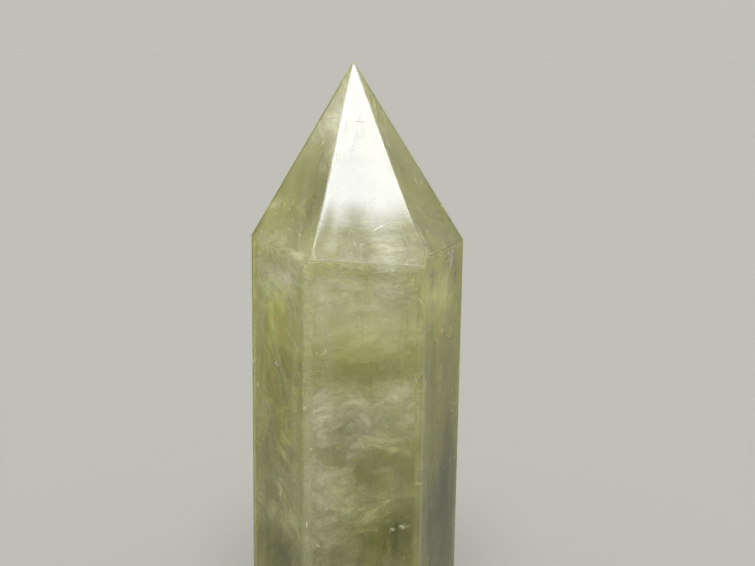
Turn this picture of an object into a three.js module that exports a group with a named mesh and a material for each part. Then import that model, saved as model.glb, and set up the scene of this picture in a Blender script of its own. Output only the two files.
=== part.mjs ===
// A citrine crystal point: one piece of see-through olive-yellow quartz, polished as a six-sided
// prism under a six-sided pyramid, and sawn flat at the foot so that it stands on its own.
// Millimetres, +Z up, +X right, +Y to the back. The origin is the middle of the foot.
import * as THREE from "three";
import { ConvexGeometry } from "three/addons/geometries/ConvexGeometry.js";

// Driving dimensions.
const height = 172; // foot to the point where the six pyramid facets would meet
const tip = { x: -1.75, y: 0.85 }; // the point stands a little off the axis, as ground by hand
const tipFlat = 0.5; // how far the blunted tip stops under that point
const edgeFlat = 0.55; // width of the narrow flat that eases each polished edge
const footFlat = 0.9; // width of the flat round the foot, which gets the most knocks

// Prism edges, anticlockwise from above. Each has its angle in degrees and its distance from the
// axis, and the height of the shoulder there on the facet before it and on the facet after it.
// The two heights differ at both front edges, where the grinding left one short extra edge each.
const corners = [
  { angle: 186.3, radius: 30.05, before: 123.7, after: 123.7 }, // left
  { angle: 244.2, radius: 29.8, before: 119.2, after: 121.0 }, // front left
  { angle: 306.3, radius: 30.65, before: 119.1, after: 121.3 }, // front right
  { angle: 5.5, radius: 30.2, before: 122.2, after: 122.2 }, // right
  { angle: 65.4, radius: 30.1, before: 121.2, after: 121.2 }, // back right
  { angle: 125.9, radius: 29.9, before: 123.0, after: 123.0 }, // back left
];

const citrine = new THREE.MeshStandardMaterial({
  color: 0x9d9d68,
  roughness: 0.08,
  metalness: 0,
});

// A point at a height on a prism edge.
function onEdge({ angle, radius }, z) {
  const a = THREE.MathUtils.degToRad(angle);
  return new THREE.Vector3(radius * Math.cos(a), radius * Math.sin(a), z);
}

// The plane through three points that run anticlockwise as seen from outside.
function planeThrough(a, b, c) {
  return new THREE.Plane().setFromCoplanarPoints(a, b, c);
}

// The point that three planes share, or null if they share none.
function meetingPoint(p, q, r) {
  const qr = new THREE.Vector3().crossVectors(q.normal, r.normal);
  const rp = new THREE.Vector3().crossVectors(r.normal, p.normal);
  const pq = new THREE.Vector3().crossVectors(p.normal, q.normal);
  const volume = p.normal.dot(qr);
  if (Math.abs(volume) < 1e-9) return null;
  return new THREE.Vector3()
    .addScaledVector(qr, -p.constant)
    .addScaledVector(rp, -q.constant)
    .addScaledVector(pq, -r.constant)
    .divideScalar(volume);
}

// Every corner of the convex solid that lies behind all the planes, with the planes it lies on.
function cornersOf(planes) {
  const found = [];
  planes.forEach((p, i) => {
    planes.slice(i + 1).forEach((q, j) => {
      planes.slice(i + j + 2).forEach((r) => {
        const point = meetingPoint(p, q, r);
        if (!point) return;
        if (planes.some((s) => s.distanceToPoint(point) > 1e-6)) return;
        if (found.some((f) => f.point.distanceTo(point) < 1e-4)) return;
        const on = planes.filter((s) => Math.abs(s.distanceToPoint(point)) < 1e-5);
        found.push({ point, on });
      });
    });
  });
  return found;
}

// A plane that cuts the edge between two faces back to a flat of the given width.
function easedEdge(p, q, onIt, width) {
  const normal = p.normal.clone().add(q.normal).normalize();
  const depth = (width / 2) * Math.tan(p.normal.angleTo(q.normal) / 2);
  const through = onIt.clone().addScaledVector(normal, -depth);
  return new THREE.Plane().setFromNormalAndCoplanarPoint(normal, through);
}

// The sharp solid: six upright faces, six facets that meet at the point, and the foot.
const point = new THREE.Vector3(tip.x, tip.y, height);
const foot = new THREE.Plane(new THREE.Vector3(0, 0, -1), 0);
const sharp = [foot];
corners.forEach((corner, i) => {
  const next = corners[(i + 1) % corners.length];
  sharp.push(planeThrough(onEdge(corner, 0), onEdge(next, 0), onEdge(next, height)));
  sharp.push(planeThrough(onEdge(corner, corner.after), onEdge(next, next.before), point));
});

// The eased solid: the same planes, one narrow flat along each edge, and the blunted tip.
const sharpCorners = cornersOf(sharp);
const eased = [...sharp];
sharp.forEach((p, i) => {
  sharp.slice(i + 1).forEach((q) => {
    const shared = sharpCorners.filter(({ on }) => on.includes(p) && on.includes(q));
    if (shared.length < 2) return;
    const width = p === foot ? footFlat : edgeFlat;
    eased.push(easedEdge(p, q, shared[0].point, width));
  });
});
eased.push(new THREE.Plane(new THREE.Vector3(0, 0, 1), tipFlat - height));

const geometry = new ConvexGeometry(cornersOf(eased).map((corner) => corner.point));
geometry.computeBoundingBox();
const middle = geometry.boundingBox.getCenter(new THREE.Vector3());
geometry.translate(-middle.x, -middle.y, 0);

const citrinePoint = new THREE.Mesh(geometry, citrine);
citrinePoint.name = "citrine_point";

const part = new THREE.Group();
part.add(citrinePoint);

export default part;
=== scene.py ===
import math

import bmesh
import bpy
import numpy as np
from mathutils import Matrix


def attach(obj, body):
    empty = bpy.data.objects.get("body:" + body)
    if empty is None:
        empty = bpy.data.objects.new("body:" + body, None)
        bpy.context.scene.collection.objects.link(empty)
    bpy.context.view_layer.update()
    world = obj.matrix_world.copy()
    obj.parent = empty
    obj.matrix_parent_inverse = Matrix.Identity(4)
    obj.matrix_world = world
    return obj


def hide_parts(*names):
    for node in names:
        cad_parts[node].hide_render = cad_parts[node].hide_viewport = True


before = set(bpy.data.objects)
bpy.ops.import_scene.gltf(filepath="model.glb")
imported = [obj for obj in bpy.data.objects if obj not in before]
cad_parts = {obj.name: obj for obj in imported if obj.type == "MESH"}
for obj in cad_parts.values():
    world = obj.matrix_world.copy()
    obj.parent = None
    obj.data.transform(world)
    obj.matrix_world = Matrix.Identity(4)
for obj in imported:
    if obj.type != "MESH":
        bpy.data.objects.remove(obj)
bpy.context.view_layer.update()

mm = 0.001

# The cut of the crystal, in millimetres about the axis of the prism. Each corner is one prism edge,
# anticlockwise from above: its angle in degrees, its distance from the axis, and the height of the
# shoulder there on the facet before it and on the facet after it.
cut = {
    "height": 172.0,
    "tip": (-1.75, 0.85),
    "corners": (
        (186.3, 30.05, 123.7, 123.7),  # left
        (244.2, 29.8, 119.2, 121.0),  # front left
        (306.3, 30.65, 119.1, 121.3),  # front right
        (5.5, 30.2, 122.2, 122.2),  # right
        (65.4, 30.1, 121.2, 121.2),  # back right
        (125.9, 29.9, 123.0, 123.0),  # back left
    ),
}
faceNames = ("Left", "Front", "Right", "BackRight", "Back", "BackLeft")


# Smooth noise from -1 to 1 at an array of points: a repeatable value at each corner of a lattice,
# from the sine of a whole number, blended between corners by 3t^2 - 2t^3.
def smoothNoise(points, cellSize, seed):
    p = points / cellSize + 17.3 * seed
    cell = np.floor(p)
    t = p - cell
    t = t * t * (3 - 2 * t)
    total = np.zeros(points.shape[:-1])
    for step in np.ndindex(2, 2, 2):
        mixed = (cell + step) @ np.array([127.1, 311.7, 74.7]) + seed
        value = np.sin(mixed) * 43758.5453
        weight = np.prod(np.abs(1 - np.array(step) - t), axis=-1)
        total += weight * (2 * (value - np.floor(value)) - 1)
    return total


# Rises from 0 to 1 as x goes from low to high, by 3t^2 - 2t^3.
def smoothStep(low, high, x):
    t = np.clip((x - low) / (high - low), 0, 1)
    return t * t * (3 - 2 * t)


# Quads over a grid of points stored row by row. A wrapped grid closes across its columns.
def gridFaces(rows, columns, wrapped=False):
    r = np.arange(rows - 1)[:, None]
    c = np.arange(columns if wrapped else columns - 1)[None, :]
    after = (c + 1) % columns
    low, high = r * columns, (r + 1) * columns
    return np.stack([low + c, low + after, high + after, high + c], -1).reshape(-1, 4)


# A piece at its place in the part's frame, from points in millimetres about the prism's axis. Each
# extra is an attribute of its points: one number, or three.
def makePiece(name, points, faces, extras=None):
    mesh = bpy.data.meshes.new(name)
    mesh.from_pydata(((points - footMiddle) * mm).tolist(), [], faces.tolist())
    for key, values in (extras or {}).items():
        kind, field = ("FLOAT", "value") if values.ndim == 1 else ("FLOAT_VECTOR", "vector")
        made = mesh.attributes.new(key, kind, "POINT")
        made.data.foreach_set(field, values.astype(np.float32).ravel())
    mesh.polygons.foreach_set("use_smooth", np.ones(len(mesh.polygons), bool))
    mesh.update()
    piece = bpy.data.objects.new(name, mesh)
    bpy.context.scene.collection.objects.link(piece)
    return piece


# Lays several grids end to end as the points, faces and extras of one piece.
def joined(grids):
    points = np.concatenate([g["points"].reshape(-1, 3) for g in grids])
    starts = np.cumsum([0] + [g["points"][..., 0].size for g in grids[:-1]])
    faces = [gridFaces(*g["points"].shape[:2]) + start for g, start in zip(grids, starts)]
    extras = {}
    for key in grids[0]:
        if key != "points":
            width = grids[0][key].shape[2:]
            extras[key] = np.concatenate([g[key].reshape(-1, *width) for g in grids])
    return points, np.concatenate(faces), extras


# A shader socket that takes part in plain arithmetic: each operator adds one Math node.
class Wire:
    def __init__(self, finish, socket):
        self.finish = finish
        self.socket = socket

    def math(self, operation, first, second):
        return self.finish.node("Math", {"operation": operation}, {0: first, 1: second})

    def __add__(self, other):
        return self.math("ADD", self, other)

    def __sub__(self, other):
        return self.math("SUBTRACT", self, other)

    def __rsub__(self, other):
        return self.math("SUBTRACT", other, self)

    def __mul__(self, other):
        return self.math("MULTIPLY", self, other)

    __radd__ = __add__
    __rmul__ = __mul__


# One set of nodes: a material's, or the world's.
class Finish:
    def __init__(self, owner):
        self.owner = owner
        owner.use_nodes = True
        self.tree = owner.node_tree
        self.tree.nodes.clear()

    # Adds a node: first its settings, then the value or the link of each socket that is given.
    def node(self, kind, settings=None, sockets=None, output=0):
        made = self.tree.nodes.new("ShaderNode" + kind)
        for key, value in (settings or {}).items():
            setattr(made, key, value)
        for key, value in (sockets or {}).items():
            if isinstance(value, Wire):
                self.tree.links.new(value.socket, made.inputs[key])
            else:
                made.inputs[key].default_value = value
        return Wire(self, made.outputs[output]) if made.outputs else made

    # Noise with so many features to one unit of the vector.
    def noise(self, vector, scale, detail=2.0, roughness=0.5, distortion=0.0):
        sockets = {"Vector": vector, "Scale": scale, "Detail": detail}
        sockets.update({"Roughness": roughness, "Distortion": distortion})
        return self.node("TexNoise", None, sockets)

    # Rises smoothly from bottom to top as a signal goes from low to high.
    def rise(self, signal, low, high, bottom=0.0, top=1.0):
        settings = {"interpolation_type": "SMOOTHSTEP"}
        return self.node("MapRange", settings, {0: signal, 1: low, 2: high, 3: bottom, 4: top})

    # Mixes two colours, which are sockets 6 and 7 of a Mix node.
    def blend(self, share, first, second):
        return self.node("Mix", {"data_type": "RGBA"}, {0: share, 6: first, 7: second}, 2)

    # An attribute of the piece: output 2 is a number, and output 1 a vector.
    def attribute(self, name, output=2):
        return self.node("Attribute", {"attribute_name": name}, None, output)


# A point at a height on a prism edge.
def onEdge(corner, z):
    a = math.radians(corner[0])
    return np.array([corner[1] * math.cos(a), corner[1] * math.sin(a), z])


# The plane through three points as its outward normal and its distance from the origin.
def planeThrough(a, b, c):
    n = np.cross(b - a, c - a)
    n = n / np.linalg.norm(n)
    return np.append(n, n @ a)


# The point that three planes share.
def meeting(*three):
    rows = np.array(three)
    return np.linalg.solve(rows[:, :3], rows[:, 3])


corners = cut["corners"]
nextCorners = corners[1:] + corners[:1]
peak = np.array([*cut["tip"], cut["height"]])
sides = [planeThrough(onEdge(a, 0), onEdge(b, 0), onEdge(b, 9)) for a, b in zip(corners, nextCorners)]
facets = [planeThrough(onEdge(a, a[3]), onEdge(b, b[2]), peak) for a, b in zip(corners, nextCorners)]
planes = np.array(sides + facets)
footCorners = np.array([onEdge(c, 0) for c in corners])
footMiddle = (footCorners.min(0) + footCorners.max(0)) / 2

# The line of the shoulder, anticlockwise. At each of the two front edges it has two corners: the
# prism edge, and the place beside it where the ridge between two facets comes down.
shoulder = np.array([
    onEdge(corners[0], corners[0][2]),
    onEdge(corners[1], corners[1][2]),
    meeting(facets[0], facets[1], sides[1]),
    onEdge(corners[2], corners[2][2]),
    meeting(facets[1], facets[2], sides[2]),
    onEdge(corners[3], corners[3][2]),
    onEdge(corners[4], corners[4][2]),
    onEdge(corners[5], corners[5][2]),
])
longSides = (0, 2, 4, 5, 6, 7)  # the runs of the shoulder line that are not the short extra edges

skin = {
    "edgeRound": 0.34,  # mm from a sharp edge to where its rounding starts
    "footRound": 0.9,
    "roundSteps": 4,
    "sideSteps": 24,
    "prismRows": 80,
    "pyramidRows": 40,
    "footRings": (0, 0.3, 0.6, 0.85, 0.97),  # how far out each ring of the foot lies
    "toCorner": 30.0,  # mm from the axis to a prism edge
    "toSkin": 29.0,  # mm from the axis to the skin, part way between an edge and a face
    "tipCut": 1.0,  # mm of the sharp peak that is worn away
    "tipDome": 0.3,
    "tipRings": (0.35, 0.7, 1.0),
    "inset": 0.08,  # mm that the whole skin stays inside the sharp cut
    "waviness": 0.045,  # mm that the hand polish wanders, always inwards
    "waves": (17.0, 8.0),  # mm across the broad waves, and across the fine ones
    "calmEdge": (0.1, 3.0),  # mm from an edge where the waves begin, and where they are full
    "calmFoot": (0.5, 4.0),
    "wornEdge": (0.35, 0.05),  # mm from an edge where its frosting begins, and where it is full
    "wornFrom": (116, 119),  # mm up, where edges begin to be more worn
}


# (1-t)^2 a + 2t(1-t) b + t^2 c: leaves a for b and turns smoothly to c.
def rounding(a, b, c, t):
    return (1 - t) ** 2 * a + 2 * t * (1 - t) * b + t ** 2 * c


# Even steps from 0 to 1, with one more step close to each end so that rounded edges stay narrow.
def steps(count):
    near = 0.3 / count
    return np.concatenate([[0, near], np.linspace(0, 1, count + 1)[1:-1], [1 - near, 1]])


# A closed ring through the corners of a polygon. Each corner is a rounding between the points that
# lie the reach away on either side, and each side is a straight run between two roundings.
def roundedRing(points, reach):
    before, after = np.roll(points, 1, 0) - points, np.roll(points, -1, 0) - points
    spanBefore = np.linalg.norm(before, axis=1, keepdims=True)
    spanAfter = np.linalg.norm(after, axis=1, keepdims=True)
    starts = points + before * np.minimum(reach / spanBefore, 0.4)
    ends = points + after * np.minimum(reach / spanAfter, 0.4)
    t = np.linspace(0, 1, skin["roundSteps"] + 1)[:, None]
    ring = []
    for k in range(len(points)):
        ring.append(rounding(starts[k], points[k], ends[k], t))
        s = steps(skin["sideSteps"] if k in longSides else 2)[1:-1, None]
        ring.append(ends[k] + (starts[(k + 1) % len(points)] - ends[k]) * s)
    return np.concatenate(ring)


# The skin is a stack of rings: the foot from its middle, the rounding at its rim, the prism up to
# the shoulder line, the rounding there, and the pyramid, which is the shoulder drawn in towards the
# peak by an even share of the way, ending in a small dome.
def crystalSkin():
    reach = skin["edgeRound"]
    rim = roundedRing(shoulder * (1, 1, 0), reach)
    line = roundedRing(shoulder, reach)
    inner = rim * (1 - skin["footRound"] / skin["toCorner"])
    raised = rim + (0, 0, skin["footRound"])
    below = line - (0, 0, reach)
    above = line + (peak - line) / np.linalg.norm(peak - line, axis=1, keepdims=True) * reach
    t = np.linspace(0, 1, skin["roundSteps"] + 1)
    rows = [inner * share for share in skin["footRings"]]
    rows += [rounding(inner, rim, raised, x) for x in t]
    rows += [raised + (below - raised) * x for x in steps(skin["prismRows"])[1:]]
    rows += [rounding(below, line, above, x) for x in t[1:]]
    first = reach / np.linalg.norm(peak - line, axis=1).mean()
    last = 1 - skin["tipCut"] / (cut["height"] - shoulder[:, 2].mean())
    for share in first + (last - first) * steps(skin["pyramidRows"])[1:]:
        rows.append(roundedRing(shoulder + (peak - shoulder) * share, reach))
    rim = rows[-1]
    crown = rim.mean(0)
    for share in skin["tipRings"]:
        rise = skin["tipDome"] * (1 - (1 - share) ** 2)
        rows.append(rim + (crown - rim) * share + (0, 0, rise))
    return np.array(rows)


# Pushes each point of the skin in along the normal of the plane it lies nearest, by the waviness
# times a noise, less near that plane's edges so that ridges stay straight. Gives how worn each
# point is as well: 1 on an edge, 0 away from it.
def polished(points):
    room = planes[:, 3] - points @ planes[:, :3].T
    nearest, second = room.argmin(1), np.sort(room, axis=1)[:, 1]
    z = points[:, 2]
    slack = smoothStep(*skin["calmEdge"], second) * smoothStep(*skin["calmFoot"], z)
    broad, fine = skin["waves"]
    wander = 0.65 * smoothNoise(points, broad, 1) + 0.35 * smoothNoise(points, fine, 2)
    push = skin["waviness"] * slack * (0.5 + 0.5 * wander)
    worn = smoothStep(*skin["wornEdge"], second) * (0.3 + 0.7 * smoothStep(*skin["wornFrom"], z))
    return points - planes[nearest, :3] * push[:, None], worn


# The skin as one closed mesh: its doubled points at the foot and at the tip are merged.
def makeCrystal():
    rows = crystalSkin()
    faces = gridFaces(*rows.shape[:2], wrapped=True)
    shrink = 1 - skin["inset"] / skin["toSkin"] * np.array([1, 1, 0])
    points, worn = polished(rows.reshape(-1, 3))
    piece = makePiece("crystal", points * shrink, faces, {"worn": worn})
    shell = bmesh.new()
    shell.from_mesh(piece.data)
    bmesh.ops.remove_doubles(shell, verts=shell.verts, dist=1e-6)
    bmesh.ops.recalc_face_normals(shell, faces=shell.faces)
    shell.to_mesh(piece.data)
    shell.free()
    return piece


citrine = {
    "ior": 1.544,
    "passes": (0.87, 0.875, 0.0),  # the colour that the depth of the stone leaves
    "density": 74.0,  # per metre
    "tints": ((1.0, 1.0, 0.99, 1), (0.99, 0.99, 0.97, 1)),
    "patches": 60,  # of each tint, to the metre
    "roughness": 0.02,
    "edgeRoughness": 0.35,
    "hairs": (300, 300, 5000),  # hairlines to the metre: across, deep and up
    "hairDepth": 0.000004,
    "hairStrength": 0.2,
}


# Clear quartz with a hand polish: its colour comes only from its depth, and the wheel has left
# faint hairlines across the faces.
def citrineFinish():
    f = Finish(bpy.data.materials.new("polishedCitrine"))
    place = f.node("TexCoord", output=3)  # the Object coordinates
    patchy = f.noise(place, citrine["patches"], 3)
    polish = f.rise(patchy, 0.3, 0.8, 0.5 * citrine["roughness"], 1.5 * citrine["roughness"])
    hairs = f.noise(f.node("Mapping", None, {"Vector": place, "Scale": citrine["hairs"]}), 1.0, 2)
    bump = {"Strength": citrine["hairStrength"], "Distance": citrine["hairDepth"], "Height": hairs}
    surface = f.node("BsdfPrincipled", None, {
        "Base Color": f.blend(patchy, *citrine["tints"]),
        "Roughness": polish + citrine["edgeRoughness"] * f.attribute("worn"),
        "IOR": citrine["ior"],
        "Transmission Weight": 1.0,
        "Normal": f.node("Bump", None, bump),
    })
    depth = {"Color": (*citrine["passes"], 1), "Density": citrine["density"]}
    sockets = {"Surface": surface, "Volume": f.node("VolumeAbsorption", None, depth)}
    f.node("OutputMaterial", None, sockets)
    return f.owner


# The directions of a plane seen from outside: out of it, to the right, and up along it.
def directions(plane):
    normal = plane[:3]
    along = np.cross((0, 0, 1), normal)
    along = along / np.linalg.norm(along)
    return normal, along, np.cross(normal, along)


# Points inside the crystal, s to the right of the middle of a plane, at height z, at a depth.
def under(plane, s, z, depth):
    normal, along, climb = directions(plane)
    base = normal * (plane[3] - np.asarray(depth, float)[..., None])
    up = (np.asarray(z, float) - base[..., 2]) / climb[2]
    return base + up[..., None] * climb + np.asarray(s, float)[..., None] * along


# How far each point is from the nearest plane of the cut, inside.
def roomAt(points):
    return (planes[:, 3] - points @ planes[:, :3].T).min(-1)


veils = {
    "depths": (1.5, 3.6, 6.5, 11.0, 17.0, 24.0),  # mm under a face of the prism
    "facetDepths": (1.4, 4.0, 8.5, 13.5),  # mm under a facet of the pyramid
    "yaw": (0, 3, -9, 12, -14, 10),  # degrees that each of them is turned from its face
    "pitch": (0, 0.5, -1.5, 2.5, -4, 3),
    "hinge": 80.0,  # mm up, where a sheet that leans still has its own depth
    "rows": (1, 124),  # mm up, from the foot of the sheets under a face to their top
    "facetRows": (108, 171),
    "cornerRows": (1, 122),
    "cornerDepths": (1.4, 4.0),  # mm in from a prism edge, for the sheets that lie across it
    "cornerHaze": 0.16,
    "cornerGold": (0.1, 0.0, 0.25, 0.7, 0.5, 0.5),  # how much more golden, at each corner of the cut
    # darker olive across each corner of the cut: smoky, and painted shade, most at the right and back
    # right corners
    "cornerSmokeAndShade": (0.0, 0.0, 0.12, 0.45, 0.3, 0.1),
    "inset": 0.35,  # mm that every sheet stays under the skin
    "step": 2.6,  # mm between the points of a sheet
    "across": 35.0,  # mm across a sheet, for the number of its points
    "ripple": (0.9, 0.15),  # mm: near the skin, and more for each mm of depth
    "rippleSizes": (15.0, 6.0),  # mm across the broad ripples, and across the fine ones
    "soft": (0.3, 0.16),  # mm over which the sides fade, and more for each mm of depth
    "softFoot": 3.0,
    "ragged": 0.10,  # mm that the sides wander, for each mm of depth
    "raggedSize": 5.0,  # mm up a side, from one bay to the next
    "bend": 3.2,  # mm that the pattern of a sheet is pulled about, so that its streaks curve
    "bendSize": 13.0,
    "leastCloud": 0.03,
    "deepHaze": 0.40,  # how much even haze the deepest sheets carry
    "deep": (5, 18),  # mm deep, where that haze begins, and where it is full
    "facetHaze": 0.20,
    "facetDeep": (3, 9),
    "footLevels": ((0.9, 0.5), (2.0, 0.3), (3.5, 0.2), (5.5, 0.1), (8.0, 0.0)),  # mm up, and haze
    "footFan": (73, 12),  # points round a level sheet, and out along it
    "footShade": 0.24,  # painted shade: how much darker olive the sheets are at the foot, where less light falls from above
    "footShadeRows": (105, 30),  # mm up, where that painted shade begins, and where it is full
}

# What the sheets behind each face and facet hold: an even amount, and soft spots in millimetres from
# the middle of the face and up from the foot, as (across, up, half width, half height, amount).
# Clouds are streaked and even spots are a smooth haze. Both are milky, more golden where there is gold,
# and a darker olive where there is smoke and painted shade, which is heaviest on the right side and low
# down. An amount below zero takes some away.
cloudBase = {
    "Front": 0.42,
    "Left": 0.46,
    "Right": 0.10,
    "BackRight": 0.5,
    "Back": 0.6,
    "BackLeft": 0.5,
    "FrontTop": 0.4,
    "LeftTop": 0.50,
    "RightTop": 0.42,
}
cloudSpots = {
    "Front": (
        (0, 114, 18, 5, 0.45),
        (0, 103, 16, 6, -0.20),
        (7, 100, 8, 3, 0.25),
        (4, 91.5, 20, 4, -0.32),
        (12, 85, 6, 4, 0.8),
        (10, 79, 8, 4, 0.9),
        (-3, 83, 9, 3, 0.5),
        (-11, 77, 6, 5, 0.8),
        (2, 77, 5, 3, 0.5),
        (8, 69, 7, 3, 0.9),
        (-6, 69, 6, 2.5, 0.5),
        (-14, 60, 7, 4, 0.9),
        (-6, 57, 9, 4, 0.7),
        (1, 61, 5, 3, -0.3),
        (9, 54, 4, 2.5, 1.1),
        (-3, 52, 7, 3, 0.6),
        (9, 42, 9, 5, -0.3),
        (3, 48, 4, 2, 0.6),
        (-12, 46, 8, 5, 0.5),
        (-6, 40, 10, 4, 0.3),
        (-2, 50, 9, 3, 0.4),
    ),
    "Left": (
        (0, 114, 12, 6, 0.9),
        (4, 104, 3, 12, 0.5),
        (6, 90, 10, 8, -0.15),
        (-10, 76, 4, 10, -0.2),
        (-4, 100, 3, 9, 0.7),
        (5, 76, 3, 9, 0.7),
        (2, 66, 4, 5, 0.6),
        (2, 53, 3.5, 3, 1.2),
        (0, 46, 15, 3.5, 1.0),
        (-6, 74, 3, 6, 0.6),
        (0, 34, 14, 6, -0.15),
    ),
    "Right": (
        (-4, 112, 14, 8, 0.9),
        (10, 98, 4, 12, 0.5),
        (0, 85, 12, 9, -0.1),
        (9, 60, 6, 22, -0.2),
    ),
    "FrontTop": (
        (7, 124, 6, 3, 1.0),
        (-6, 126, 5, 3, -0.3),
        (-4, 121, 6, 2, 0.5),
    ),
    "LeftTop": (
        (2, 155, 5, 8, 0.9),
        (-2, 141, 5, 5, 0.35),
        (3, 133, 6, 5, 0.25),
        (-8, 132, 5, 1.2, 1.2),
        (1, 131.5, 3, 1.0, 1.0),
        (-2, 123, 10, 4, 1.0),
    ),
    "RightTop": (
        (-2, 150, 3, 4, 0.9),
        (-3, 136, 4, 4, -0.3),
        (-12, 126, 4, 8, 1.4),
        (6, 123, 4, 3, 0.9),
    ),
}
evenSpots = {
    "Front": (
        (0, 105, 20, 9, 0.44),
        (0, 96, 22, 8, 0.15),
        (0, 76, 20, 13, 0.05),
        (-12, 76, 5, 5, 0.18),
        (12, 81, 5, 6, 0.14),
        (5, 69, 8, 2.5, 0.10),
        (-12, 59, 8, 4, 0.14),
        (-5, 55, 8, 3, 0.08),
        (-11, 43, 6, 4, 0.14),
    ),
    "Left": (
        (0, 107, 14, 13, 0.43),
        (0, 86, 16, 12, 0.14),
        (0, 70, 18, 40, 0.13),
        (0, 46, 16, 4, 0.14),
    ),
    "Right": ((-1, 109, 14, 12, 0.56), (0, 76, 16, 20, 0.28), (7, 44, 14, 22, 0.55)),
    "FrontTop": ((0, 123, 16, 7, 0.05), (8, 124, 6, 4, 0.10)),
    "LeftTop": ((2, 159, 8, 10, 0.62),),
}
goldBase = {
    "": 0.3,
    "Front": 0.05,
    "Left": 0.6,
    "Right": 1.0,
    "BackRight": 0.9,
    "BackLeft": 0.8,
    "FrontTop": 0.0,
    "LeftTop": 0.1,
    "RightTop": 0.3,
}
goldSpots = {
    "Front": (
        (0, 94, 20, 9, 0.7),
        (8, 67, 7, 3, 0.5),
        (6, 46, 16, 13, 0.5),
        (25, 60, 8, 90, 1.1),
    ),
    "Left": (
        (0, 88, 16, 22, 0.7),
        (0, 114, 14, 7, -0.4),
        (0, 58, 14, 8, -0.2),
    ),
    "Right": ((-2, 112, 14, 9, -0.4),),
    "LeftTop": ((0, 134, 10, 9, 0.6), (0, 155, 10, 7, -0.2)),
    "RightTop": ((-2, 134, 10, 8, 0.6),),
}
# How much darker olive the sheets behind each face and facet are: partly smoky patches, and partly
# painted shade, heaviest on the right side and low down where less light falls.
smokeAndShadeBase = {
    "Left": 0.12,
    "Right": 0.22,
    "BackRight": 0.36,
    "BackLeft": 0.15,
    "LeftTop": 0.14,
    "RightTop": 0.49,
}
smokeAndShadeSpots = {
    "Front": (
        (-7, 78, 6, 3, 0.10),
        (8, 66, 8, 2, 0.14),
        (9, 42, 10, 6, 0.46),
        (1, 56, 7, 3, 0.12),
    ),
    "Left": (
        (0, 91, 12, 9, 0.12),
        (-12, 99, 3, 8, 0.15),
        (-4, 33, 14, 7, 0.42),
        (-9, 62, 4, 8, 0.25),
        (8, 84, 5, 7, 0.16),
        (-3, 79, 3, 10, 0.22),
    ),
    "Right": (
        (-2, 112, 14, 10, -0.6),
        (-14, 96, 5, 10, 0.2),
        (2, 85, 14, 18, -0.06),
        (6, 42, 16, 24, 0.60),
        (9, 58, 4, 18, 0.38),
        (-10, 90, 4, 12, 0.20),
        (10.4, 114.6, 2.5, 2.5, 0.9),
    ),
    "LeftTop": ((3.5, 134, 7, 8, 0.78), (-6, 141, 5, 7, 0.45)),
    "RightTop": ((-3, 140, 6, 12, 0.26),),
}


# The sum over the spots of amount * exp(-(distance in half widths and half heights)^2), with the
# distances bent by noise so that the outlines wander.
def spotsAt(spots, s, z):
    grid = np.stack([s, z, 0 * s], -1)
    bentS = s + 3.0 * smoothNoise(grid, 9.0, 3) + 1.2 * smoothNoise(grid, 4.0, 4)
    bentZ = z + 2.0 * smoothNoise(grid, 9.0, 5) + 1.0 * smoothNoise(grid, 4.0, 6)
    total = np.zeros_like(s)
    for across, up, wide, tall, amount in spots:
        total += amount * np.exp(-((bentS - across) / wide) ** 2 - ((bentZ - up) / tall) ** 2)
    return total


# What a sheet holds at its points: the base amount and the spots of its face. The deeper the sheet,
# the less of it is streaked.
def contents(face, s, z, depth):
    streaked = 1 - 0.95 * smoothStep(*patternedTo.get(face, (3, 9)), depth)
    cloud = cloudBase.get(face, 0.3) + spotsAt(cloudSpots.get(face, ()), s, z)
    # Painted shade: the sheets turn darker olive towards the foot, where less light falls from above.
    smokeAndShade = veils["footShade"] * smoothStep(*veils["footShadeRows"], z) + smokeAndShadeBase.get(face, 0.0)
    return {
        "cloud": np.maximum(cloud, veils["leastCloud"]) * streaked,
        "even": spotsAt(evenSpots.get(face, ()), s, z),
        "smokeAndShade": smokeAndShade + spotsAt(smokeAndShadeSpots.get(face, ()), s, z),
        "gold": goldBase.get(face, 0.35) + spotsAt(goldSpots.get(face, ()), s, z),
    }


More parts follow.
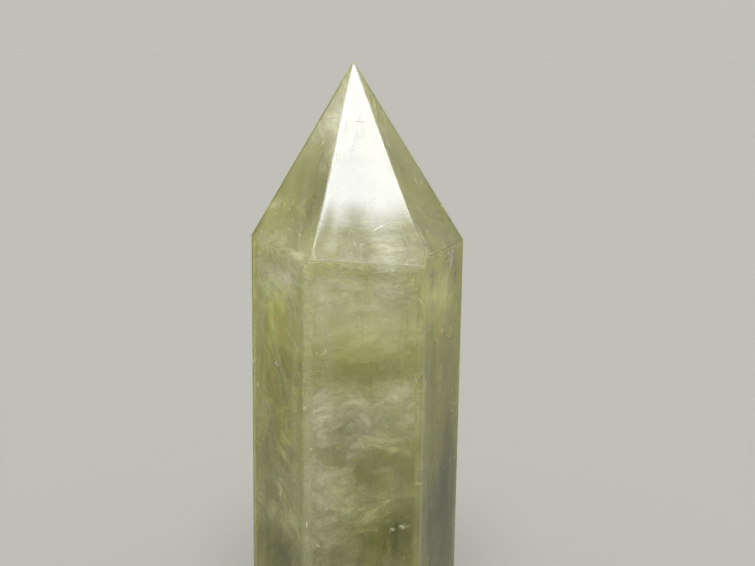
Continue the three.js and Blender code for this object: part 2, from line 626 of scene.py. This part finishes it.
# A rippled sheet inside the crystal, parallel to one of its planes at a depth. Rows climb the plane;
# each row is the straight line at its height, cut where it would come within the inset of any
# plane, and the ripple pushes points along the normal, less towards the ends of the row.
def sheetUnder(plane, face, depth, seed, low, high):
    normal, along, climb = directions(plane)
    up = np.linspace(low, high, int((high - low) / climb[2] / veils["step"]))
    lines = under(plane, 0 * up, up, depth)
    room = planes[:, 3] - veils["inset"] - lines @ planes[:, :3].T
    run = planes[:, :3] @ along
    ends = room / np.where(np.abs(run) > 1e-4, run, 1e-4)
    last = np.where(run > 1e-4, ends, np.inf).min(1)
    first = np.where(run < -1e-4, ends, -np.inf).max(1)
    wide = (last - first) > 1.0
    lines, first, last = lines[wide], first[wide, None], last[wide, None]
    s = first + (last - first) * np.linspace(0, 1, int(veils["across"] / veils["step"]))
    points = lines[:, None, :] + s[..., None] * along
    slack = np.clip(np.minimum(s - first, last - s) / 4, 0, 1)
    ripple = veils["ripple"][0] + veils["ripple"][1] * depth
    broad, fine = veils["rippleSizes"]
    wave = smoothNoise(points, broad, seed) + 0.4 * smoothNoise(points, fine, seed + 5)
    points = points + (ripple * slack * wave)[..., None] * normal
    z = points[..., 2]
    soft = veils["soft"][0] + veils["soft"][1] * depth
    bays = smoothNoise(points * (0, 0, 1), veils["raggedSize"], seed + 9)
    ragged = veils["ragged"] * depth * (1 + bays)
    fade = smoothStep(0, soft, s - first - ragged) * smoothStep(0, soft, last - s - ragged)
    flat = np.stack([s, z, np.full_like(s, depth)], -1)
    size = veils["bendSize"]
    bend = [smoothNoise(flat, size, seed + 3), smoothNoise(flat, size, seed + 4), 0 * s]
    return {
        "points": points,
        "fade": fade * smoothStep(low, low + veils["softFoot"], z),
        "place": (flat + veils["bend"] * np.stack(bend, -1)) / 10,
        **contents(face, s, z, depth),
    }


# The slant of the streaks behind each face, in degrees from level, and how drawn out they are.
slants = {"Left": -34, "Front": 5, "Right": 38, "BackRight": -10, "Back": 8, "BackLeft": 12}
drawnOut = {"Front": 1.7, "Left": 1.9, "Right": 2.0}
sheen = {"Right": 0.0, "BackRight": 0.0}  # the others have the 0.5 of a plain surface
patternedTo = {"Front": (12, 26)}  # the depths between which the streaks give way to even haze

# The make of the clouds: features to the centimetre of each kind of pattern, what share of a cloud
# each takes, and the two ends of each colour.
clouding = {
    "broad": 1.2,
    "strands": 2.2,
    "filaments": 3.6,
    "hue": 0.8,
    "strength": 0.75,
    "strandShare": 0.52,
    "filamentShare": 0.16,
    "milky": ((0.90, 0.90, 0.80, 1), (0.98, 0.97, 0.96, 1)),
    "golden": ((0.76, 0.81, 0.22, 1), (0.86, 0.80, 0.30, 1)),
    # dark olive: the colour of the smoky patches and of the painted shade
    "smokyShade": ((0.10, 0.125, 0.012, 1), (0.17, 0.15, 0.02, 1)),
    "roughness": 0.7,
}


# Cloudy quartz: white where tiny bubbles crowd, clear between, drawn out in soft strands along the
# slant of the face. Place is measured in centimetres across, up and into the face.
def veilFinish(face):
    f = Finish(bpy.data.materials.new("veil" + face))
    place = f.attribute("place", 1)
    turn = {"Vector": place, "Rotation": (0, 0, math.radians(slants[face]))}
    turned = f.node("Mapping", {"vector_type": "TEXTURE"}, turn)
    drawn = drawnOut.get(face, 1.4)
    stretched = f.node("Mapping", None, {"Vector": turned, "Scale": (1 / drawn, drawn, 1.0)})
    broad = f.rise(f.noise(place, clouding["broad"], 3, 0.6, 0.3), 0.34, 0.64)
    strands = f.rise(f.noise(stretched, clouding["strands"], 6, 0.64, 0.3), 0.32, 0.68)
    offLine = f.noise(stretched, clouding["filaments"], 2, 0.5) - 0.5
    filaments = 1 - f.rise(f.node("Math", {"operation": "ABSOLUTE"}, {0: offLine}), 0.0, 0.045)
    hue = f.rise(f.noise(place, clouding["hue"], 2, 0.6), 0.38, 0.62)
    drawing = 0.38 + clouding["strandShare"] * strands + clouding["filamentShare"] * filaments
    cloud = clouding["strength"] * f.attribute("cloud") * ((0.35 + 0.65 * broad) * drawing)
    milky = f.blend(strands, *clouding["milky"])
    golden = f.blend(hue, *clouding["golden"])
    smokyShade = f.blend(hue, *clouding["smokyShade"])
    clean = f.blend(f.attribute("gold"), milky, golden)
    # The darker olive is partly smoky patches and partly painted shade, on the right side and towards
    # the foot.
    surface = f.node("BsdfPrincipled", None, {
        "Base Color": f.blend(f.attribute("smokeAndShade") * (1.15 - 0.3 * strands), clean, smokyShade),
        "Roughness": clouding["roughness"],
        "Specular IOR Level": sheen.get(face, 0.5),
        "Alpha": f.attribute("fade") * (cloud + f.attribute("even")),
    })
    f.node("OutputMaterial", None, {"Surface": surface})
    return f.owner


# A level sheet across the prism: fans of points from the axis out to the nearest side, as
# r(a) = min over the sides of distance / cos(a - its angle), less the inset.
def levelSheet(height, haze, seed):
    a = np.linspace(0, 2 * np.pi, veils["footFan"][0])
    out = np.stack([np.cos(a), np.sin(a)], -1)
    reach = np.array(sides)[:, 3] / np.maximum(out @ np.array(sides)[:, :2].T, 0.01)
    edge = reach.min(1) - veils["inset"]
    r = np.linspace(0.01, 1, veils["footFan"][1])[:, None]
    x, y = r * edge * out[:, 0], r * edge * out[:, 1]
    flat = np.stack([x, y, np.full_like(x, height)], -1)
    ripple = 0.3 * smoothNoise(flat, 9.0, seed)
    return {
        "points": flat + ripple[..., None] * (0, 0, 1),
        "fade": smoothStep(1, 0.9, r) * np.ones_like(x),
        "cloud": np.full_like(x, 0.5) * smoothStep(1, 0.6, r),
        "even": np.full_like(x, haze),
        # painted shade: the level sheets at the foot take the full darker olive of the foot
        "smokeAndShade": np.full_like(x, veils["footShade"]),
        "gold": np.full_like(x, 0.4),
        "place": flat / 10,
    }


# A plane turned by small angles about the upright and about its own level direction, in degrees. It
# turns about the middle of the plane at the height of the hinge.
def leaning(plane, yaw, pitch):
    normal, along, climb = directions(plane)
    turned = normal + math.tan(math.radians(yaw)) * along + math.tan(math.radians(pitch)) * climb
    turned = turned / np.linalg.norm(turned)
    return np.append(turned, turned @ (normal * plane[3] + np.array([0, 0, veils["hinge"]])))


# All the sheets behind one face, across the prism edge on its left and behind its facet. Those of
# every other face lean the other way. The level sheets at the foot go with the face at the back.
def makeVeils(number, face):
    grids = []
    turn = 1 if number % 2 else -1
    for k, (depth, yaw, pitch) in enumerate(zip(veils["depths"], veils["yaw"], veils["pitch"])):
        plane = leaning(sides[number], turn * yaw, turn * pitch)
        grid = sheetUnder(plane, face, depth, 10 * number + k, *veils["rows"])
        grid["even"] += veils["deepHaze"] * smoothStep(*veils["deep"], depth)
        grids.append(grid)
    for k, depth in enumerate(veils["cornerDepths"]):
        radius = corners[number][1]
        plane = np.append(onEdge(corners[number], 0) / radius, radius)
        grid = sheetUnder(plane, "", depth, 10 * number + k + 60, *veils["cornerRows"])
        grid["even"] += veils["cornerHaze"]
        grid["gold"] += veils["cornerGold"][number]
        # Partly painted shade: the sheets across the right-hand corners grow darker olive.
        grid["smokeAndShade"] += veils["cornerSmokeAndShade"][number]
        grids.append(grid)
    for k, depth in enumerate(veils["facetDepths"]):
        grid = sheetUnder(facets[number], face + "Top", depth, 10 * number + k + 6, *veils["facetRows"])
        grid["even"] += veils["facetHaze"] * smoothStep(*veils["facetDeep"], depth)
        grids.append(grid)
    if face == "Back":
        grids += [levelSheet(*row, 80 + k) for k, row in enumerate(veils["footLevels"])]
    points, faces, extras = joined(grids)
    return makePiece("veils" + face, points, faces, extras)


flecks = {
    "count": 1500,  # drawn over the six faces, and a third as many over their facets
    "depth": (0.4, 5.0),
    "size": (0.08, 0.33),
    "rim": 6,
    # near white: partly frost, partly a painted glint
    "tints": ((0.97, 0.94, 0.74, 1), (1, 1, 0.94, 1)),
    "cluster": 18,  # how many flakes make up one of the placed flecks
    "spread": (0.60, 0.35),  # how far they scatter along its slant and across, as shares of its size
    "placed": (  # the ones that catch the eye: where, across, up, depth and size
        ("Front", 15.3, 110.0, 0.6, 0.65),
        ("Front", 11.8, 109.5, 0.6, 0.59),
        ("Front", -14.5, 115.4, 0.6, 0.59),
        ("Front", -1.0, 118.2, 0.6, 0.52),
        ("Front", -5.9, 118.6, 0.6, 0.45),
        ("Front", 10.4, 112.2, 0.6, 0.45),
        ("Front", -9.8, 96.0, 0.6, 0.52),
        ("Front", 14.8, 88.0, 0.6, 0.59),
        ("Front", -15.0, 80.5, 0.6, 0.59),
        ("Front", 16.0, 59.0, 0.6, 0.59),
        ("Front", -9.2, 51.9, 0.6, 0.52),
        ("Front", 8.9, 45.8, 0.6, 0.55),
        ("Front", 11.6, 46.6, 0.6, 1.05),
        ("Front", -11.4, 41.2, 0.6, 0.50),
        ("Left", 8.7, 119.5, 0.6, 0.45),
        ("Left", -1.8, 89.3, 0.6, 0.59),
        ("Left", 0.5, 52.5, 0.6, 0.80),
        ("Left", -11.9, 80.8, 0.6, 0.52),
        ("Right", 0.7, 101.8, 0.6, 0.72),
        ("Right", -0.7, 99.0, 0.6, 0.59),
        ("Right", -12.5, 87.0, 0.6, 0.59),
        ("LeftTop", -1.5, 149.5, 0.6, 0.65),
        ("LeftTop", 5.5, 147.5, 0.6, 0.45),
        ("FrontTop", -2.7, 124.6, 0.6, 0.50),
        ("FrontTop", -0.6, 124.4, 0.6, 0.59),
        ("FrontTop", 4.0, 121.4, 0.6, 0.59),
        ("FrontTop", 11.5, 120.5, 0.6, 0.59),
        ("RightTop", 3.0, 139.2, 0.9, 0.80),
        ("RightTop", 6.2, 138.2, 0.9, 0.60),
        ("RightTop", -5.5, 127.0, 0.6, 0.59),
        ("Right", 3.5, 119.4, 0.6, 1.4),
        ("Right", 6.0, 118.4, 0.6, 1.8),
        ("Right", 4.6, 117.2, 0.6, 1.5),
    ),
}
specks = {
    "count": 26,
    "depth": (0.8, 6.0),
    "size": (0.10, 0.24),
    "tints": ((0.06, 0.06, 0.03, 1), (0.16, 0.15, 0.08, 1)),
}


# Two shallow cones base to base: a rim of points round the middle at size * (0.6 to 1) and a point
# a little way out on either side.
def flakes(name, centres, sizes, normals, seed):
    draw = np.random.default_rng(seed)
    normals = normals / np.linalg.norm(normals, axis=1, keepdims=True)
    across = np.cross(normals, draw.normal(size=normals.shape))
    across = across / np.linalg.norm(across, axis=1, keepdims=True)
    other = np.cross(normals, across)
    count, rim = len(centres), flecks["rim"]
    angle = np.linspace(0, 2 * np.pi, rim, endpoint=False)
    reach = sizes[:, None] * draw.uniform(0.6, 1.0, (count, rim))
    long, short = 1.3 * np.cos(angle)[:, None], 0.8 * np.sin(angle)[:, None]
    ring = centres[:, None] + reach[..., None] * (across[:, None] * long + other[:, None] * short)
    thick = sizes[:, None, None] * np.array([0.15, -0.15])[:, None]
    points = np.concatenate([ring, centres[:, None] + normals[:, None] * thick], 1).reshape(-1, 3)
    k = np.arange(rim)
    after = (k + 1) % rim
    upper = np.stack([k, after, 0 * k + rim], 1)
    lower = np.stack([after, k, 0 * k + rim + 1], 1)
    fans = np.concatenate([upper, lower])
    faces = (fans[None] + (np.arange(count) * (rim + 2))[:, None, None]).reshape(-1, 3)
    return makePiece(name, points, faces)


strewing = {
    "halfWidth": 16,  # mm to either side of the middle of a face
    "faceRows": (4, 122),
    "facetRows": (119, 168),
    "room": 0.5,  # mm that each place stays under the skin
}


# Places strewn by chance under the faces and facets: each is drawn on one of the twelve planes, and
# the ones that fall outside the cut are left out.
def strewn(count, depths, draw):
    found = []
    for number, plane in enumerate(planes):
        onFace = number < len(sides)
        share = count if onFace else count // 3
        s = draw.uniform(-strewing["halfWidth"], strewing["halfWidth"], share)
        z = draw.uniform(*strewing["faceRows" if onFace else "facetRows"], share)
        depth = depths[0] + (depths[1] - depths[0]) * draw.uniform(0, 1, share) ** 1.5
        points = under(plane, s, z, depth)
        found.append(points[roomAt(points) > strewing["room"]])
    return np.concatenate(found)


# The plane of a face such as "Left", or of its facet, "LeftTop".
def planeOf(where):
    number = faceNames.index(where.replace("Top", ""))
    return facets[number] if where.endswith("Top") else sides[number]


# The flakes of the placed flecks: each fleck is a cloud of them, drawn out along a chance slant.
def placedFlakes(draw):
    many = flecks["cluster"]
    centres = []
    for where, s, z, depth, size in flecks["placed"]:
        slant = draw.uniform(0, np.pi)
        long, short = draw.normal(size=(2, many)) * size * np.array(flecks["spread"])[:, None]
        right = s + long * math.cos(slant) - short * math.sin(slant)
        up = z + long * math.sin(slant) + short * math.cos(slant)
        centres.append(under(planeOf(where), right, up, depth + draw.uniform(0, 0.3, many)))
    sizes = np.repeat([row[-1] for row in flecks["placed"]], many)
    sizes = sizes * draw.uniform(0.1, 0.6, len(sizes))
    facing = np.repeat([planeOf(row[0])[:3] for row in flecks["placed"]], many, 0)
    return np.concatenate(centres), sizes, facing


# Bright flakes: tiny cracks and grains that catch the light. Their near-white colour is partly the
# frost of the cracks and partly a painted glint, bright from every side instead of only where a crack
# faces the light.
def makeFlecks():
    draw = np.random.default_rng(11)
    strewnCentres = strewn(flecks["count"] // len(sides), flecks["depth"], draw)
    low, high = flecks["size"]
    strewnSizes = low + (high - low) * draw.uniform(0, 1, len(strewnCentres)) ** 3
    placedCentres, placedSizes, facing = placedFlakes(draw)
    centres = np.concatenate([strewnCentres, placedCentres])
    sizes = np.concatenate([strewnSizes, placedSizes])
    turned = draw.normal(size=centres.shape)
    turned[len(strewnCentres):] = facing + 0.5 * turned[len(strewnCentres):]
    piece = flakes("flecks", centres, sizes, turned, 12)
    f = Finish(bpy.data.materials.new("fleckFrostAndGlint"))
    mottle = f.noise(f.node("TexCoord", output=3), 900, 3)
    surface = f.node("BsdfPrincipled", None, {
        "Base Color": f.blend(mottle, *flecks["tints"]),
        "Roughness": f.rise(mottle, 0.3, 0.7, 0.25, 0.5),
        "Alpha": f.rise(mottle, 0.2, 0.5, 0.55, 0.95),
    })
    f.node("OutputMaterial", None, {"Surface": surface})
    piece.data.materials.append(f.owner)
    return piece


# Dark grains of another mineral.
def makeSpecks():
    draw = np.random.default_rng(21)
    centres = strewn(specks["count"] // len(sides), specks["depth"], draw)
    sizes = draw.uniform(*specks["size"], len(centres))
    piece = flakes("specks", centres, sizes, draw.normal(size=(len(sizes), 3)), 22)
    f = Finish(bpy.data.materials.new("darkGrain"))
    mottle = f.noise(f.node("TexCoord", output=3), 1200, 3)
    surface = f.node("BsdfPrincipled", None, {
        "Base Color": f.blend(mottle, *specks["tints"]),
        "Roughness": f.rise(mottle, 0.3, 0.7, 0.4, 0.7),
    })
    f.node("OutputMaterial", None, {"Surface": surface})
    piece.data.materials.append(f.owner)
    return piece


# Long soft threads of haze: where, start (across, up), end, bend and half width, depth, strength.
wisps = {
    "steps": 24,
    "across": 5,
    "room": 0.25,  # mm under the skin, where a thread ends
    "tints": ((0.93, 0.93, 0.83, 1), (1, 1, 0.97, 1)),
    "threads": (
        ("Front", (-6, 106.5), (6, 107.5), 0.6, 1.1, 1.1, 0.34),
        ("Front", (-12, 102), (2, 103.5), -0.8, 1.3, 1.2, 0.3),
        ("Front", (2, 112.5), (15, 113.5), 0.5, 1.0, 1.0, 0.34),
        ("Front", (-4, 104), (2, 98), 1.5, 1.8, 1.3, 0.34),
        ("Front", (4, 90), (11, 93), 1.2, 1.5, 1.5, 0.3),
        ("Front", (-10, 96.5), (-3, 96), 1.0, 0.8, 1.1, 0.37),
        ("Front", (-14.4, 48.9), (-14.4, 46.0), 0.05, 0.3, 0.45, 1.6),
        ("Front", (1, 63), (12, 64.5), -1.2, 1.8, 1.4, 0.27),
        ("Front", (-12, 58), (-2, 62), 1.5, 2.0, 1.4, 0.3),
        ("FrontTop", (1.3, 127.3), (8.4, 130.6), 0.15, 0.3, 0.35, 1.5),
        ("FrontTop", (-2.5, 127.0), (3, 122.5), 1.0, 0.8, 0.9, 0.5),
        ("FrontTop", (2.0, 126.0), (9, 123.0), -0.8, 1.0, 0.9, 0.6),
        ("Left", (-6, 108), (8, 76), -2.0, 1.5, 1.2, 0.34),
        ("Left", (-9, 100), (4, 66), 2.0, 1.3, 1.4, 0.27),
        ("Left", (-11, 84), (-4, 52), 1.0, 1.5, 1.3, 0.27),
        ("Left", (-9, 79), (-3, 70), 0.6, 0.9, 1.0, 0.5),
        ("LeftTop", (2, 131), (7, 120.5), -0.8, 0.8, 1.0, 0.34),
        ("RightTop", (-11.5, 133), (-11.0, 120), 2.0, 0.9, 0.9, 0.47),
        ("RightTop", (-4.5, 152), (-2.5, 147), 0.2, 0.25, 0.4, 0.81),
        ("Right", (-6, 112), (-3, 84), 1.5, 1.8, 1.3, 0.27),
        ("Right", (7, 108), (9, 70), -1.5, 2.0, 1.4, 0.23),
    ),
}


# A ribbon along (1-t)^2 a + 2t(1-t) b + t^2 c under a plane, where b stands off the middle of a and
# c by the bend. Its width swells and wavers with t, and it fades to nothing at its ends and sides.
def thread(where, start, end, bend, halfWidth, depth, strength, seed):
    a, c = np.array(start, float), np.array(end, float)
    sideways = np.array([a[1] - c[1], c[0] - a[0]]) / np.linalg.norm(c - a)
    b = (a + c) / 2 + 2 * bend * sideways
    t = np.linspace(0, 1, wisps["steps"])[:, None]
    path = rounding(a, b, c, t)
    waver = smoothNoise(np.concatenate([path, 0 * t], 1), 3.0, seed)[:, None]
    w = np.linspace(-1, 1, wisps["across"])
    width = halfWidth * (0.7 + 0.4 * waver) * np.sqrt(np.clip(4 * t * (1 - t), 0.05, 1))
    place = path[:, None] + sideways * (width * w + 0.5 * halfWidth * waver)[..., None]
    deep = depth + 0.2 * w ** 2 + 0.15 * (1 + waver)
    points = under(planeOf(where), place[..., 0], place[..., 1], deep)
    fade = strength * (1 - w ** 2) * smoothStep(0, 0.25, t) * smoothStep(1, 0.6, t)
    return {"points": points, "fade": fade * (roomAt(points) > wisps["room"])}


# All the threads as one piece, with a fine grain along them.
def makeWisps():
    threads = [thread(*row, seed=k) for k, row in enumerate(wisps["threads"])]
    points, faces, extras = joined(threads)
    piece = makePiece("wisps", points, faces, extras)
    f = Finish(bpy.data.materials.new("wispHaze"))
    place = f.node("TexCoord", output=3)
    streaks = f.rise(f.noise(place, 700, 5, 0.65, 0.5), 0.35, 0.65)
    surface = f.node("BsdfPrincipled", None, {
        "Base Color": f.blend(streaks, *wisps["tints"]),
        "Roughness": 0.6,
        "Alpha": f.attribute("fade") * (0.35 + 0.65 * streaks),
    })
    f.node("OutputMaterial", None, {"Surface": surface})
    piece.data.materials.append(f.owner)
    return piece


crystal = makeCrystal()
crystal.data.materials.append(citrineFinish())
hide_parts("citrine_point")
pieces = [crystal]
print("crystal skin:", len(crystal.data.polygons), "faces")

for number, face in enumerate(faceNames):
    piece = makeVeils(number, face)
    piece.data.materials.append(veilFinish(face))
    pieces.append(piece)
print("veils:", sum(len(p.data.polygons) for p in pieces[1:]), "faces")

pieces += [makeFlecks(), makeSpecks(), makeWisps()]
print("flecks, specks and wisps:", sum(len(p.data.polygons) for p in pieces[-3:]), "faces")

for piece in pieces:
    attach(piece, "root")

studio = {
    "floorRadius": 30.0,  # metres
    "floorSteps": (24, 96),  # rings, and points round each
    "floorColor": (0.279, 0.275, 0.240, 1),
    "horizon": (0.533, 0.527, 0.482, 1),
    "zenith": (1.67, 1.67, 1.70, 1),
    "haloColor": (1.9, 1.94, 2.2, 1),
    "lampColor": (14.1, 14.4, 16.3, 1),
    "halo": (36.0, 47.0),  # degrees up where the glow below the light begins, and where it is full
    "lampLow": (44.95, 46.9),  # degrees up where the light in front begins, and where it is full
    "lampHigh": (62.0, 68.0),
    "lampDip": (0.128, 0.147, 0.170),  # across, where the lower edge of that light bends up, and back
    "dip": 0.0075,
    "unevenness": 0.006,
    "lampHalf": (0.20, 0.30),  # its half width, as a share of the distance, full and ending
}


# A round floor: rings of points about the middle, closer together near it.
def makeFloor():
    rings, around = studio["floorSteps"]
    angle = np.linspace(0, 2 * np.pi, around, endpoint=False)
    radius = studio["floorRadius"] * np.linspace(0, 1, rings)[:, None] ** 3
    points = np.stack([radius * np.cos(angle), radius * np.sin(angle), 0 * radius * angle], -1)
    faces = gridFaces(rings, around, wrapped=True)
    floor = makePiece("floor", points.reshape(-1, 3) / mm + footMiddle, faces)
    f = Finish(bpy.data.materials.new("paleFloor"))
    sockets = {"Base Color": studio["floorColor"], "Roughness": 0.9, "Specular IOR Level": 0.0}
    f.node("OutputMaterial", None, {"Surface": f.node("BsdfPrincipled", None, sockets)})
    floor.data.materials.append(f.owner)


# The height of a direction at each angle above level, in degrees.
def heights(angles):
    return np.sin(np.radians(angles)).tolist()


# Soft light from all round, brighter overhead, and one wide softbox high in front whose edges fade.
def makeLight():
    f = Finish(bpy.data.worlds.new("studio"))
    toSky = f.node("TexCoord")
    split = f.node("SeparateXYZ", None, {0: toSky})
    across, depth, up = (Wire(f, split.socket.node.outputs[k]) for k in range(3))
    sky = f.blend(f.rise(up, 0.0, 1.0), studio["horizon"], studio["zenith"])
    width = f.node("Math", {"operation": "ABSOLUTE"}, {0: across})
    below = 1 - f.rise(up, *heights(studio["lampHigh"]))
    within = below * (1 - f.rise(width, *studio["lampHalf"])) * f.rise(-1 * depth, 0.1, 0.2)
    glow = f.blend(f.rise(up, *heights(studio["halo"])) * within, sky, studio["haloColor"])
    left, middle, right = studio["lampDip"]
    dip = f.rise(across, left, middle) * (1 - f.rise(across, middle, right))
    edge = up - studio["dip"] * dip - studio["unevenness"] * (f.noise(toSky, 45.0, 3, 0.6) - 0.5)
    lamp = f.rise(edge, *heights(studio["lampLow"])) * within
    light = f.blend(lamp, glow, studio["lampColor"])
    f.node("OutputWorld", None, {"Surface": f.node("Background", None, {"Color": light})})
    bpy.context.scene.world = f.owner


view = {
    "at": (5.6, -331.0, 176.1),  # mm in the part's frame
    "down": 11.34,  # degrees below level
    "roll": 0.8,
    "lens": 56.55,
    "sensor": 36,
}


def makeCamera():
    camera = bpy.data.objects.new("camera", bpy.data.cameras.new("camera"))
    camera.data.sensor_width = view["sensor"]
    camera.data.lens = view["lens"]
    tilt = Matrix.Rotation(math.radians(90 - view["down"]), 4, "X")
    roll = Matrix.Rotation(math.radians(view["roll"]), 4, "Z")
    camera.matrix_world = Matrix.Translation([c * mm for c in view["at"]]) @ tilt @ roll
    bpy.context.scene.collection.objects.link(camera)
    bpy.context.scene.camera = camera


bounces = {
    "max_bounces": 20,
    "diffuse_bounces": 8,
    "glossy_bounces": 16,
    "transmission_bounces": 20,
    "transparent_max_bounces": 48,
}

makeFloor()
makeLight()
makeCamera()
scene = bpy.context.scene
scene.view_settings.view_transform = "Standard"
for key, value in bounces.items():
    setattr(scene.cycles, key, value)
print("stage, light and camera made")
